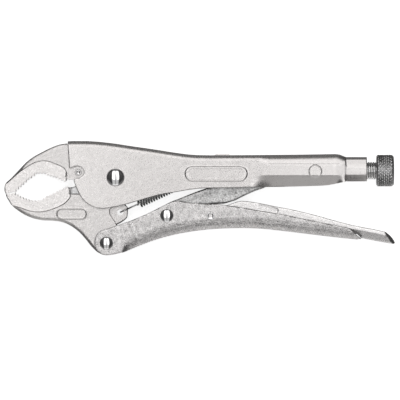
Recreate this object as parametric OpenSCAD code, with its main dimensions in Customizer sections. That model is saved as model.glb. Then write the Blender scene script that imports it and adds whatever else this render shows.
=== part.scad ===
/* [Overall] */
// Width of the pressed body channel across its side walls
body_w = 17; // [16.4:0.2:17.6]
// Sheet thickness of the body and of the lever
sheet = 2.4; // [2:0.1:2.4]
// Outside bend radius where the sheet folds over
fold_r = 3.8; // [2.8:0.2:4.4]

/* [Jaws] */
// Thickness of the lower jaw plate
jaw_w = 11.6; // [10:0.2:11.6]
// Width of the raised gripping bands
grip_w = 13.6; // [12.4:0.2:14.4]
// Depth of the gripping teeth
tooth_h = 0.8; // [0.4:0.1:1]

/* [Lever and link] */
// Outside width of the lever behind its ears
lever_w = 19.2; // [18.4:0.2:19.6]
// Thickness of the toggle link plate
link_w = 7.6; // [6.4:0.2:8]
// Thickness of the release lever
release_w = 10; // [8:0.5:11]

/* [Screw and knob] */
// Outside radius of the adjusting screw's thread
screw_r = 5.8; // [5.4:0.1:5.8]
// Radius of the knurled knob
knob_r = 10.25; // [9:0.25:10.25]
// Thread pitch of the adjusting screw
pitch = 1.5; // [1.25:0.25:1.75]

/* [Hidden] */
$fn = 64;
zc = 11.6;              // height of the middle plane above the resting plane
hb = body_w / 2;        // outer half width of the body
hi = hb - sheet;        // inner half width of the body
hj = jaw_w / 2;
hl = lever_w / 2;       // outer half width of the lever behind the joggle
run_gap = 0.05;         // radial clearance of every pivot

P1 = [-54, 13.2];       // lower jaw on the body
P2 = [-59.8, -28.8];    // lever on the lower jaw
P3 = [-21.2, -11.2];    // toggle link on the lever
P4 = [46, 17.5];        // end of the toggle link on the screw's nose
P5 = [6.7, -11.4];      // release lever on the lever
PC = [-77.8, 16.4];     // cutter pin
H = [-51.2, -9.2];      // spring hole in the lower jaw
A = [14, 20.6];         // spring hole in the anchor
axis_y = 17.5;          // height of the screw's axis

// ---- curves ----
function cr(a, b, c, d, t) = 0.5 * (2 * b + (c - a) * t + (2 * a - 5 * b + 4 * c - d) * t * t + (3 * b - a - 3 * c + d) * t * t * t);
function smooth(P, n = 4) = [for (i = [0:len(P) - 2]) for (k = [0:n - 1]) cr(P[max(i - 1, 0)], P[i], P[i + 1], P[min(i + 2, len(P) - 1)], k / n), P[len(P) - 1]];
function arc(c, r, a0, a1, n = 6) = [for (i = [0:n]) c + r * [cos(a0 + (a1 - a0) * i / n), sin(a0 + (a1 - a0) * i / n)]];
function rev(P) = [for (i = [len(P) - 1:-1:0]) P[i]];
// length of a chain of points, the point at a distance along it, and its left-hand normal there
function len_to(P, i) = i <= 0 ? 0 : norm(P[i] - P[i - 1]) + len_to(P, i - 1);
function seg_at(P, s, i = 0) = i >= len(P) - 2 || s <= norm(P[i + 1] - P[i]) ? [i, s] : seg_at(P, s - norm(P[i + 1] - P[i]), i + 1);
function at(P, s) = let (g = seg_at(P, s), a = P[g[0]], b = P[g[0] + 1]) a + (b - a) * g[1] / norm(b - a);
function left(P, s) = let (g = seg_at(P, s), d = P[g[0] + 1] - P[g[0]]) [-d[1], d[0]] / norm(d);
// saw teeth along a chain: the roots lie on it and the tips stand to its left
function teeth(P, n, h) = let (L = len_to(P, len(P) - 1)) [for (i = [0:2 * n]) at(P, L * i / (2 * n)) + (i % 2) * h * left(P, L * i / (2 * n))];

// ---- solids ----
module slab(w, z = 0) translate([0, 0, zc + z - w / 2]) linear_extrude(w) children();
module pair(z0, z1) for (s = [-1, 1]) slab(z1 - z0, s * (z0 + z1) / 2) children();
module bore(p, r, w = 40) translate([p[0], p[1], zc - w / 2]) cylinder(h = w, r = r);
module along_x(x0, x1, r, y = axis_y) translate([x0, y, zc]) rotate([0, 90, 0]) cylinder(h = x1 - x0, r = r);
module block(x0, x1, y0, y1, w, z = 0) translate([x0, y0, zc + z - w / 2]) cube([x1 - x0, y1 - y0, w]);
module stadium(l, w) { square([l - w, w], center = true); for (s = [-1, 1]) translate([s * (l - w) / 2, 0]) circle(d = w); }
module frame(l, w, t) difference() { stadium(l, w); stadium(l - 2 * t, w - 2 * t); }

// folded sheet swept along a chain of straight runs with mitred joints: the chain is the outside of the fold, and the walls
// stand to its right (side -1) or left (side 1) for a depth d, with half width h, sheet t and outside bend radius r
function heading(S, i) = atan2(S[i + 1][1] - S[i][1], S[i + 1][0] - S[i][0]);
function joint_n(S, i) = let (a = i == 0 ? heading(S, 0) : heading(S, i - 1), b = i == len(S) - 1 ? a : heading(S, i), m = (a + b) / 2) [-sin(m), cos(m)] / cos((b - a) / 2);
function section(h, t, r, d) = concat([[d, -h]], arc([r, -h + r], r, -90, -180), arc([r, h - r], r, 180, 90), [[d, h], [d, h - t]],
  arc([r, h - r], max(r - t, 0.4), 90, 180), arc([r, -h + r], max(r - t, 0.4), 180, 270), [[d, -h + t]]);
function quad(a, b, c, d) = [[a, b, c], [a, c, d]];
module channel(S, h, t, r, d, side) {
  Q = section(h, t, r, d);
  m = len(Q);
  k = len(S);
  last = (k - 1) * m;
  polyhedron(
    points = [for (i = [0:k - 1]) for (q = Q) let (p = S[i] + side * q[0] * joint_n(S, i)) [p[0], p[1], zc + side * q[1]]],
    faces = concat(
      [for (j = [0:m / 2 - 2]) for (f = quad(m - 1 - j, m - 2 - j, j + 1, j)) f],
      [for (i = [0:k - 2]) for (j = [0:m - 1]) for (f = quad(i * m + j, i * m + (j + 1) % m, (i + 1) * m + (j + 1) % m, (i + 1) * m + j)) f],
      [for (j = [0:m / 2 - 2]) for (f = quad(last + j, last + j + 1, last + m - 2 - j, last + m - 1 - j)) f]),
    convexity = 8);
}
// domed rivet: shank between the walls, a low dome outside each
module rivet(p, r, head_r, head_h, half) translate([p[0], p[1], zc]) {
  translate([0, 0, -half - 0.1]) cylinder(h = 2 * half + 0.2, r = r);
  for (s = [0, 1]) mirror([0, 0, s]) translate([0, 0, half]) rotate_extrude()
    polygon(concat([[0, 0]], [[head_r, 0], [head_r, 0.35]], [for (a = [10:10:90]) [head_r * cos(a), 0.35 + (head_h - 0.35) * sin(a)]]));
}

// ---- body ----
top_line = [[-88, 36.3], [-78, 36.5], [-68, 36.3], [-56, 35], [-44, 33.2], [-30, 31.2], [-16, 29], [-6, 27.7], [4, 27.3], [16, 27.3], [60, 27.7], [95, 28.1]];
front_edge = [[-84.9, 40], [-83.4, 18.7]];
notch = [[-83.4, 18.7], [-82, 19.3], [-79.8, 20.1], [-77.4, 20.2], [-75.2, 19.2], [-74.1, 17], [-74.6, 14.8], [-76.4, 13.3], [-79, 12.5], [-80.8, 11.6]];
belly = [[-80.8, 11.6], [-79.6, 8], [-77.8, 4], [-75, -0.8], [-71, -4.2], [-66.5, -6.2], [-61.5, -6.8], [-56.5, -6], [-47, -4], [-38.5, -1.5], [-26, 2], [-16, 3.7], [-6.5, 5.3], [0.5, 6.1], [10, 6.4], [22, 6.5], [33, 6.9], [54, 7.2], [78, 7.9], [85, 8.8], [93, 10.5]];
collar_x = [92.5, 106.7];

module anchor_plate() polygon([[9, 27], [9.5, 28], [10.5, 28.2], [18, 28.2], [19, 28], [19.5, 27], [17, 25], [16.6, 19.8], [15, 18.2], [13, 18.2], [11.4, 19.8], [11.2, 25]]);

module body_shell() color([0.80, 0.80, 0.79]) difference() {
  union() {
    intersection() {
      union() {
        channel(top_line, hb, sheet, fold_r, 48, -1);
        // the end closes round the screw
        block(56, 93.1, 0, 25.6, 2 * hi + 1);
      }
      slab(body_w + 2) polygon(concat(front_edge, smooth(notch), smooth(belly), [[93, 26.4], [92, 27.2], [88, 28.4], [80, 40]]));
      // the end draws in towards the collar
      translate([0, 50, zc]) rotate([90, 0, 0]) linear_extrude(70) polygon([[-90, -12], [86, -12], [86, -hb - 0.2], [93.2, -7.7], [93.2, 7.7], [86, hb + 0.2], [86, 12], [-90, 12]]);
      // the lower flanks turn in behind the link
      for (s = [0, 1]) translate([0, 0, zc]) mirror([0, 0, s]) translate([0, 0, -zc]) difference() {
        block(-90, 94, -20, 45, 60);
        translate([57, 14.7, zc + hb]) rotate([31, 0, 0]) translate([0, -30, 0]) cube([60, 30, 20]);
        translate([33, 14.7, zc + hb]) rotate([12, 0, 0]) translate([0, -30, 0]) cube([25, 30, 20]);
      }
    }
    // many-sided collar round the screw
    translate([collar_x[0], 0, zc]) rotate([90, 0, 90]) linear_extrude(collar_x[1] - collar_x[0])
      polygon([[10.6, -2.6], [14.9, -7.8], [20.3, -7.8], [24.5, -6.2], [26.2, -2.6], [26.2, 2.6], [24.5, 6.2], [20.3, 7.8], [14.9, 7.8], [10.6, 2.6]]);
    // plain stadium frames where a name would stand
    translate([10.3, 15.7, zc - hb - 0.25]) linear_extrude(0.5) frame(40, 9.4, 0.6);
    translate([10.3, 15.7, zc + hb - 0.25]) linear_extrude(0.5) frame(40, 9.4, 0.6);
  }
  // bore round the screw and a slit below it
  along_x(55, 90, screw_r + 0.3);
  block(55, 90, 0, axis_y, 2.4);
  along_x(80, 110, screw_r + run_gap);
  bore(P1, 4);
  slab(2) anchor_plate();
}

module spring_anchor() color([0.74, 0.74, 0.73]) difference() {
  slab(2) anchor_plate();
  bore(A, 1.4);
}

// ---- fixed jaw ----
nose = [[-124.3, 2.7], [-125, 5], [-124.4, 9], [-121, 12.4], [-116, 17.6], [-111.5, 22.4], [-107.5, 25.6], [-103.5, 28], [-96, 31.8], [-90, 34.1], [-85.1, 34.9]];
up_front = [[-119.4, 4.1], [-116.5, 7], [-113.2, 9.8], [-110.3, 12.6], [-107, 14.6], [-106, 15.8]];
up_mid = [[-106, 15.8], [-104, 16.3], [-100.5, 16.3], [-98.3, 15.9]];
up_back = [[-98.3, 15.9], [-96, 15.2], [-91.5, 13.8], [-88.6, 12.5], [-85.4, 11.2]];
up_line = concat(teeth(rev(up_back), 8, tooth_h), rev(smooth(up_mid)), teeth(rev(up_front), 10, tooth_h));
up_band = [[-123.4, 9.4], [-118.5, 13.8], [-113.7, 17.8], [-107, 22], [-102, 23.6], [-97.2, 23.5], [-91.5, 21.5], [-87, 19.2], [-85.5, 16.8]];

module upper_block() { translate(PC) circle(r = 3.3); polygon([[-84.2, 11.9], [-82.6, 11.7], [-76.5, 11.9], [-76, 13.6], [-77, 19.6], [-79.6, 19.5], [-82, 18.7], [-84.2, 17.8]]); }

module fixed_jaw() color([0.82, 0.80, 0.79]) difference() {
  union() {
    slab(12.2) polygon(concat(smooth(nose), [[-83.6, 18.8], [-85.4, 17.6], [-85.4, 11.2]], up_line));
    slab(grip_w) polygon(concat([[-124.3, 2.7], [-125, 5], [-124.4, 9]], smooth(up_band), [[-85.4, 11.2]], up_line));
    // tang held in the channel, clear of the bend inside the fold
    slab(2 * hi) polygon([[-86, 12], [-66.5, 12], [-66.5, 24], [-60, 28], [-60, 31.4], [-68, 32.4], [-86, 32.4]]);
  }
  slab(20) upper_block();
  block(-86.5, -60, 0, 11.95, 30);
}

module upper_cutter() color([0.70, 0.70, 0.71]) difference() {
  slab(2 * hi) upper_block();
  // bevel to the cutting edge
  translate([-84.2, 11.4, zc]) rotate([0, 0, 12]) translate([-6, -1, -10]) cube([6, 12, 20]);
  bore(PC, 1.65);
}

module cutter_pin() color([0.66, 0.66, 0.67]) translate([PC[0], PC[1], zc]) difference() {
  translate([0, 0, -hi - 0.3]) cylinder(h = 2 * hi + 0.6, r = 1.65);
  for (s = [0, 1]) mirror([0, 0, s]) translate([0, 0, hi - 0.2]) cylinder(h = 1, r = 0.9);
}

module main_rivet() color([0.86, 0.86, 0.87]) rivet(P1, 4, 5.7, zc - hb, hb);

// ---- lower jaw ----
jaw_under = [[-124.2, 2.4], [-123.6, 0.6], [-122.3, -1.7], [-120.3, -4.7], [-116.5, -7.9], [-111.5, -11], [-106.3, -13.1], [-100.5, -14.3], [-94, -14.6], [-88, -15.5], [-82.3, -18], [-77, -22], [-72.7, -26.8], [-69.3, -31.1], [-65.7, -34.6]];
jaw_rear = [[-53.3, -17.2], [-55.6, -13.6], [-57.9, -10], [-57.9, -7.4], [-55.4, -5.4], [-51.6, -2], [-46.6, 6]];
jaw_top = [[-63.4, 16.4], [-66, 11.6], [-71, 9.3], [-79.4, 7.6], [-81.4, 7]];
low_front = [[-119.8, 2.9], [-117.1, 1.2], [-114.3, -0.4], [-111.4, -1.4], [-109, -2.2]];
low_mid = [[-109, -2.2], [-106, -2.3], [-103, -2.2], [-100.5, -1.6]];
low_back = [[-100.5, -1.6], [-98.3, 0], [-94.8, 1.5], [-91.5, 3.1], [-88, 4.9], [-84, 6.8]];
low_line = concat(teeth(rev(low_back), 11, -tooth_h), rev(smooth(low_mid)), teeth(rev(low_front), 7, -tooth_h));
low_band = [[-83.9, 6.6], [-82.9, 1.4], [-84, -0.8], [-86.8, -3.6], [-91.5, -6], [-97.2, -8], [-103.4, -8.9], [-109, -8.2], [-113.7, -6.6], [-117.8, -5.2], [-120.3, -4.6]];

module lower_block() polygon([[-83.6, 2.4], [-77, 2.4], [-77, 7.9], [-81.4, 6.9], [-83.6, 6.2]]);

module lower_jaw() color([0.82, 0.80, 0.79]) difference() {
  union() {
    slab(jaw_w) polygon(concat(smooth(jaw_under), arc(P2, 7.9, -112, -8, 10), [[-52.2, -22]], jaw_rear, arc(P1, 10, -30, 152, 20), jaw_top, [[-84, 6.8]], low_line));
    slab(grip_w) polygon(concat(smooth([[-124.2, 2.4], [-123.6, 0.6], [-122.3, -1.7], [-120.3, -4.6]]), rev(smooth(low_band)), low_line));
    // thin tang with the spring hole
    slab(3.6) polygon([[-60, -14], [-53.3, -17.2], [-49.7, -15.2], [-46.9, -12.8], [-46.2, -10], [-46.2, -6.2], [-47.4, -4.5], [-49, 1], [-60, 2]]);
    for (s = [-1, 1]) translate([-82, -10, zc + s * hj - 0.2]) linear_extrude(0.4) frame(19.4, 7, 0.55);
  }
  bore(P1, 4 + run_gap);
  bore(P2, 3 + run_gap);
  bore(H, 1.9);
  slab(20) lower_block();
}

module lower_cutter() color([0.70, 0.70, 0.71]) difference() {
  slab(jaw_w) lower_block();
  translate([-83.6, 7, zc]) rotate([0, 0, -14]) translate([-6, -10, -10]) cube([6, 12, 20]);
}

// ---- lever ----
ear = [[-42, -13.7], [-47, -15.4], [-52.7, -17.5], [-57, -19], [-60.5, -20.1], [-64.1, -21.4], [-66.6, -24.8], [-67.4, -28.8], [-66.4, -32.8], [-63.5, -35.6], [-59.4, -36.5], [-55, -35.7], [-51, -33.4], [-46.5, -30.5], [-40, -28.4]];
wall_top = [[-44.6, -14.6], [-34, -10.2], [-25.5, -5.9], [-19, -2.9], [-15, -2], [-11.6, -2.3], [-1, -3.4], [8, -3.9], [16, -4.5], [33.7, -7.3], [48.4, -9.7], [61.5, -12.4], [77.8, -15.8], [90.9, -18.4], [96, -20], [99, -22.6], [103.3, -26.2]];
web_line = [[-53, -36.8], [-44, -33], [-36, -29.5], [-29, -27], [-22, -24.9], [-14, -23], [-5, -21.4], [4, -20.3], [14, -19.6], [26, -19.3], [38, -19.6], [52, -21], [70, -23.2], [88, -25.3], [106, -27.2]];

module lever() color([0.74, 0.74, 0.73]) difference() {
  union() {
    pair(hl - sheet - 1.1, hl - 1.1) polygon(smooth(ear));
    intersection() {
      channel(web_line, hl, sheet, 4.4, 40, 1);
      slab(30) polygon(concat([[-49.4, -60], [-49.4, -31], [-43, -27]], smooth(wall_top), [[103.3, -60]]));
    }
  }
  bore(P2, 3);
  bore(P3, 3);
  bore(P5, 2.35);
}

module lever_rivet() color([0.86, 0.86, 0.87]) rivet(P2, 3, 4.25, 2.3, hl - 1.1);
module link_rivet() color([0.86, 0.86, 0.87]) rivet(P3, 3, 4.2, zc - hl, hl);

// ---- toggle link ----
link_up = [[-25.2, -6.2], [-19, -2.6], [-12.8, -0.2], [-6, 2.6], [0.3, 5], [12, 9], [26, 15], [36, 20.2], [43.6, 22.2]];
link_low = [[50, 14.2], [46, 11], [42, 7], [35.6, 4.6], [30, 2.2], [25.1, -0.2], [22.6, -1.5], [20, -2.3], [16, -3.5], [12, -3.8], [8.4, -3.7], [4.5, -3.2], [1.9, -1.8], [-3, -4.6], [-10, -11], [-15.6, -14.2]];

module toggle_link() color([0.70, 0.70, 0.69]) difference() {
  union() {
    slab(link_w) { polygon(concat(smooth(link_up), arc(P4, 4.9, 88, -48, 8), smooth(link_low))); translate(P3) circle(r = 6.2); }
    // hub at the lever
    slab(2 * (hl - sheet) - 0.6) translate(P3) circle(r = 5.6);
    // fork head at the screw
    slab(2 * hi - 0.7) { translate(P4) circle(r = 5.2); translate(P4) rotate(203) translate([0, -4.3]) square([11, 8.6]); }
  }
  // slot that straddles the screw's nose
  slab(5) translate(P4) circle(r = 8.4);
  // shallow forged panel on each side
  for (s = [-1, 1]) slab(1, s * (link_w / 2 + 0.1)) polygon([[-8, -2], [2, 1.8], [18, 7.8], [28, 10.8], [26, 4], [20, 1], [10, -0.8], [4, -0.4]]);
  bore(P3, 3 + run_gap);
}

// ---- release lever ----
rel_up = [[3.4, -7.6], [8, -6.4], [12, -5.7], [16, -5], [20, -3.7], [24, -2.3], [27, -1.9], [31, -2.2], [35, -2.8], [39.3, -3.5], [48.4, -5.4], [58.2, -7.2], [71.3, -10.3], [84.4, -13.9], [97.4, -17.3], [110.5, -19.8], [118.6, -21.6]];
rel_end = [[118.6, -21.6], [121.6, -24], [125, -28.3], [123.6, -29.4], [117, -28.4], [103.9, -25.8]];
rel_low = [[103.9, -23.5], [90, -21.4], [71, -18.6], [52, -16], [40, -15], [28, -14.8], [16, -15.6], [8, -16.3]];

module release_lever() color([0.74, 0.74, 0.73]) difference() {
  union() {
    slab(release_w) { polygon(concat(smooth(rel_up), rel_end, smooth(rel_low))); translate(P5) circle(r = 5); }
    slab(2 * (hl - sheet) - 0.8) translate(P5) circle(r = 4);
  }
  // smooth recess on each side
  for (s = [-1, 1]) slab(1, s * (release_w / 2 + 0.1)) polygon([[33, -3.4], [44, -5.3], [49, -7.6], [46, -9.6], [34, -7.2]]);
  // hollow along the tail's underside
  translate([54, -19.4, zc - release_w / 2 + 2.2]) rotate([0, 0, -7]) cube([46, 8, release_w - 4.4]);
  bore(P5, 2.35 + run_gap);
}

module release_pin() color([0.86, 0.86, 0.87]) translate([P5[0], P5[1], zc]) rotate_extrude()
  polygon([[0, -hl - 0.3], [1.9, -hl - 0.3], [2.35, -hl], [2.35, hl], [1.9, hl + 0.3], [0, hl + 0.3]]);

// ---- adjusting screw and knob ----
thread_n = floor(50 / pitch);
module adjusting_screw() color([0.45, 0.45, 0.46]) translate([0, axis_y, zc]) rotate([0, 90, 0]) rotate_extrude()
  polygon(concat([[0, 44.5], [1.6, 44.5], [2.2, 45.2], [2.2, 56], [screw_r - 1, 56], [screw_r, 57]],
    [for (i = [0:thread_n - 1]) for (p = [[screw_r, 0.2], [screw_r - 0.85, 0.68], [screw_r - 0.85, 0.82], [screw_r, 1.3]]) [p[0], 60 + pitch * (i + p[1] / 1.5)]],
    [[screw_r - 0.5, 112.6], [4, 112.6], [4, 121], [0, 121]]));

knurl_n = 48;
module knob() color([0.25, 0.25, 0.26]) difference() {
  translate([112.9, axis_y, zc]) rotate([0, 90, 0]) intersection() {
    linear_extrude(11.1) polygon([for (i = [0:2 * knurl_n - 1]) (knob_r - (i % 2) * 0.45) * [cos(180 * i / knurl_n), sin(180 * i / knurl_n)]]);
    rotate_extrude() polygon(concat([[0, 0], [knob_r - 0.8, 0], [knob_r + 0.1, 0.8]], [for (i = [1:5]) for (p = [[knob_r + 0.1, -0.35], [knob_r - 0.45, 0], [knob_r + 0.1, 0.35]]) [p[0], 0.2 + i * 1.5 + p[1]]], [[knob_r + 0.1, 9], [knob_r - 0.6, 10.5], [knob_r - 1.7, 11.1], [0, 11.1]]));
  }
  along_x(112, 121.3, 4 + run_gap);
}

// ---- jaw spring ----
wire = 0.5;
coil_r = 2.5;
coil_p = 1.75;
sp = A - H;
sp_len = norm(sp);
c0 = 13.6;              // where the coil starts along the spring
turns = 27;
c1 = c0 + turns * coil_p;
// hook at each end: a ring of wire through the hole, edge-on, and a straight length to the coil
module loop(x, r) translate([x, 0, 0]) rotate([90, 0, 0]) rotate_extrude() translate([r, 0]) circle(r = wire);
module rod(x0, x1) translate([x0, 0, 0]) rotate([0, 90, 0]) cylinder(h = x1 - x0, r = wire - 0.06);
// the coil as a thin tube with one ridge of wire a turn
module jaw_spring() color([0.55, 0.55, 0.56]) translate([H[0], H[1], zc]) rotate([0, 0, atan2(sp[1], sp[0])]) {
  translate([c0, 0, 0]) rotate([0, 90, 0]) rotate_extrude() polygon(concat([[coil_r - wire, 0]],
    [for (i = [0:turns - 1]) for (p = [[coil_r, 0], [coil_r + wire, 0.3], [coil_r + wire, 0.7], [coil_r, 1]]) [p[0], p[1] + i * coil_p]],
    [[coil_r - wire, 1 + (turns - 1) * coil_p]]));
  loop(3.4, 3.4);
  rod(6.6, c0 + 0.5);
  loop(sp_len - 2.4, 2.4);
  rod(c1 - coil_p + 0.5, sp_len - 4.6);
  // end turns bent in to the hooks
  for (x = [c0 + 0.1, c1 - coil_p + 0.1]) translate([x, 0, 0]) rotate([0, 90, 0]) cylinder(h = 0.8, r = coil_r - 0.2);
}

body_shell();
fixed_jaw();
upper_cutter();
cutter_pin();
main_rivet();
spring_anchor();
lower_jaw();
lower_cutter();
lever();
lever_rivet();
link_rivet();
release_pin();
toggle_link();
release_lever();
adjusting_screw();
knob();
jaw_spring();
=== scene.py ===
import math
import bmesh
import bpy
import numpy as np
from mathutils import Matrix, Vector
from mathutils.geometry import delaunay_2d_cdt
from mathutils.kdtree import KDTree


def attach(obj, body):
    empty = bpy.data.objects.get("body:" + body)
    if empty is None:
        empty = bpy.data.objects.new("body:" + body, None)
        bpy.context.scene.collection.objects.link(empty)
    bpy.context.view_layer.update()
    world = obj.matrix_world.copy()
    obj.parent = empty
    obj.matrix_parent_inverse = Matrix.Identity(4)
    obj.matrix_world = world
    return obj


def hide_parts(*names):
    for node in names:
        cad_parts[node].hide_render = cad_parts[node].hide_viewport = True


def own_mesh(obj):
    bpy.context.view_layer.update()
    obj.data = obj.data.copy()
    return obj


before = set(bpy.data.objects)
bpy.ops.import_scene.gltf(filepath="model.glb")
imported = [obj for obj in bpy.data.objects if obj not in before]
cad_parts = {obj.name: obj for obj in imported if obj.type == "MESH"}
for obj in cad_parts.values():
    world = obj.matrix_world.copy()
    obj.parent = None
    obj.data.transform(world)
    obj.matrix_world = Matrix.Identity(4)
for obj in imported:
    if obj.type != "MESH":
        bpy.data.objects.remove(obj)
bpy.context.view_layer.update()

# ------------------------------------------------------------------ sizes, mm
ZC = 11.6
HB, HI, SHEET, FOLD = 8.5, 6.1, 2.4, 3.8
HL = 9.6
P1, P2, P3, P4, P5 = (-54, 13.2), (-59.8, -28.8), (-21.2, -11.2), (46, 17.5), (6.7, -11.4)
H, A = np.array([-51.2, -9.2]), np.array([14, 20.6])
AXIS_Y = 17.5


# ------------------------------------------------------------------ curves
def smooth(P, n=4):
    P = [np.array(p, float) for p in P]
    out = []
    for i in range(len(P) - 1):
        a, b, c, d = P[max(i - 1, 0)], P[i], P[i + 1], P[min(i + 2, len(P) - 1)]
        for k in range(n):
            t = k / n
            out.append(0.5 * (2 * b + (c - a) * t + (2 * a - 5 * b + 4 * c - d) * t * t + (3 * b - a - 3 * c + d) * t ** 3))
    out.append(P[-1])
    return np.array(out)


def arc(c, r, a0, a1, n=6):
    a = np.radians(a0 + (a1 - a0) * np.arange(n + 1) / n)
    return np.stack([c[0] + r * np.cos(a), c[1] + r * np.sin(a)], 1)


def chain(*parts):
    out = []
    for p in parts:
        for q in np.array(p, float).reshape(-1, 2):
            if not out or np.hypot(*(q - out[-1])) > 1e-4:
                out.append(q)
    return np.array(out)


def resample(C, s, closed):
    C = np.array(C, float)
    ends = np.roll(C, -1, 0) if closed else C[1:]
    out = []
    for a, b in zip(C, ends):
        n = max(1, int(math.ceil(np.hypot(*(b - a)) / s)))
        out += [a + (b - a) * k / n for k in range(n)]
    if not closed:
        out.append(C[-1])
    return np.array(out)


def along(P, s):
    d = np.hypot(*np.diff(P, axis=0).T)
    L = np.concatenate([[0], np.cumsum(d)])
    i = np.clip(np.searchsorted(L, s, side="right") - 1, 0, len(d) - 1)
    t = (P[i + 1] - P[i]) / d[i][:, None]
    return P[i] + t * (s - L[i])[:, None], np.stack([-t[:, 1], t[:, 0]], 1), L[-1]


def teeth(P, n, h):
    P = np.array(P, float)
    L = along(P, np.array([0.0]))[2]
    t = np.arange(4 * n + 1) / 4
    q, nrm, _ = along(P, L * t / n)
    return q + nrm * (h * np.array([0, 0.62, 1, 0.62])[np.arange(4 * n + 1) % 4])[:, None]


def inside(P, X):
    out = np.zeros(len(X), bool)
    a, b = np.array(P), np.roll(P, -1, 0)
    for k in range(0, len(X), 4000):
        x, y = X[k:k + 4000, 0][:, None], X[k:k + 4000, 1][:, None]
        c = (a[:, 1] > y) != (b[:, 1] > y)
        t = (b[:, 0] - a[:, 0]) * (y - a[:, 1]) / np.where(b[:, 1] == a[:, 1], 1e-12, b[:, 1] - a[:, 1]) + a[:, 0]
        out[k:k + 4000] = np.sum(c & (x < t), 1) % 2 == 1
    return out


def dist(C, X, closed=True):
    C = np.array(C, float)
    a = C if closed else C[:-1]
    d = (np.roll(C, -1, 0) if closed else C[1:]) - a
    q = np.maximum((d ** 2).sum(1), 1e-12)
    out = np.zeros(len(X))
    for k in range(0, len(X), 3000):
        v = X[k:k + 3000, None, :] - a[None]
        t = np.clip((v * d).sum(2) / q, 0, 1)
        out[k:k + 3000] = np.sqrt((((v - t[..., None] * d) ** 2).sum(2)).min(1))
    return out


def signed(P, X):
    return np.where(inside(P, X), 1, -1) * dist(P, X)


def step(x, w):
    """0 below -w/2, 1 above w/2, smooth between"""
    t = np.clip(x / w + 0.5, 0, 1)
    return t * t * (3 - 2 * t)


def drop(d, r):
    """how far a rounded edge of radius r has fallen at distance d from it"""
    k = np.clip(d, 0, r)
    return r - np.sqrt(np.maximum(r * r - (r - k) ** 2, 0))


def stadium(c, l, w, n=10):
    e = (l - w) / 2
    return chain(arc((c[0] + e, c[1]), w / 2, -90, 90, n), arc((c[0] - e, c[1]), w / 2, 90, 270, n))


def band(d, w):
    """1 on a line, falling to 0 at w/2 from it"""
    return 1 - step(np.abs(d) - w / 2, w * 0.5)


# ------------------------------------------------------------------ meshes
def region(outline, s=0.8, rings=(0.12, 0.3, 0.6), lines=(), holes=()):
    """triangles filling an outline, with rows of points beside its edge and beside the given lines"""
    loops = [resample(outline, s, True)] + [resample(h, s * 0.5, True) for h in holes]

    def edge(X):
        return np.min([dist(L, X) for L in loops], 0)

    def within(X):
        k = inside(loops[0], X)
        for h in loops[1:]:
            k &= ~inside(h, X)
        return k

    placed = []
    for L in loops:
        nxt = np.roll(L, -1, 0)
        t = nxt - L
        ln = np.maximum(np.hypot(*t.T), 1e-9)
        nrm = np.stack([-t[:, 1], t[:, 0]], 1) / ln[:, None]
        for r in rings:
            for side in (1, -1):
                X = (L + nxt) / 2 + side * r * nrm
                X = X[within(X)]
                if len(X):
                    placed.append(X[edge(X) > 0.93 * r])
    for C, closed, w in lines:
        C = resample(C, s * 0.7, closed)
        t = (np.roll(C, -1, 0) - np.roll(C, 1, 0)) if closed else np.gradient(C, axis=0)
        nrm = np.stack([-t[:, 1], t[:, 0]], 1) / np.maximum(np.hypot(*t.T), 1e-9)[:, None]
        for off in (-w / 2, 0, w / 2) if w else (0,):
            X = C + off * nrm
            X = X[within(X)]
            if len(X):
                placed.append(X[edge(X) > 0.12])
    lo, hi = loops[0].min(0), loops[0].max(0)
    gx, gy = np.meshgrid(np.arange(lo[0], hi[0], s), np.arange(lo[1], hi[1], s * 0.866))
    gx = gx + (np.arange(gy.shape[0]) % 2)[:, None] * s / 2
    G = np.stack([gx.ravel(), gy.ravel()], 1)
    G = G[within(G)]
    G = G[edge(G) > (max(rings) if rings else 0) + 0.4 * s]
    keep = np.concatenate(placed) if placed else np.zeros((0, 2))
    tree = KDTree(len(keep) + 1)
    for i, p in enumerate(keep):
        tree.insert((p[0], p[1], 0), i)
    tree.insert((1e6, 1e6, 0), len(keep))
    tree.balance()
    G = np.array([g for g in G if tree.find((g[0], g[1], 0))[2] > 0.42 * s]).reshape(-1, 2)
    # drop points of different rows that fall together
    good, tree2 = [], {}
    for p in keep:
        k = (round(p[0] / 0.09), round(p[1] / 0.09))
        if k not in tree2:
            tree2[k] = 1
            good.append(p)
    pts = np.concatenate([np.concatenate(loops), np.array(good).reshape(-1, 2), G])
    edges, base = [], 0
    for L in loops:
        n = len(L)
        edges += [(base + i, base + (i + 1) % n) for i in range(n)]
        base += n
    vs, _, fs, ov, _, _ = delaunay_2d_cdt([Vector(p) for p in pts], edges, [], 0, 1e-7)
    P = np.array([[v.x, v.y] for v in vs])
    T = np.array([f for f in fs if len(f) == 3])
    C = P[T].mean(1)
    T = T[within(C)]
    a, b, c = P[T[:, 0]], P[T[:, 1]], P[T[:, 2]]
    area = (b[:, 0] - a[:, 0]) * (c[:, 1] - a[:, 1]) - (b[:, 1] - a[:, 1]) * (c[:, 0] - a[:, 0])
    T[area < 0] = T[area < 0][:, ::-1]
    where = {}
    for i, src in enumerate(ov):
        for k in src:
            where[k] = i
    out, base = [], 0
    for L in loops:
        out.append([where[base + i] for i in range(len(L))])
        base += len(L)
    return P, T, out


def plate(outline, top, s=0.8, rings=(0.12, 0.3, 0.6), lines=(), holes=(), bottom=None):
    P, T, loops = region(outline, s, rings, lines, holes)
    n = len(P)
    zt = top(P)
    zb = -zt if bottom is None else bottom(P)
    V = np.concatenate([np.column_stack([P, zt]), np.column_stack([P, zb])])
    F = [tuple(t) for t in T] + [tuple(t[::-1] + n) for t in T]
    for L in loops:
        for a, b in zip(L, L[1:] + L[:1]):
            F.append((a, b, b + n, a + n))
    return V, F


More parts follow.
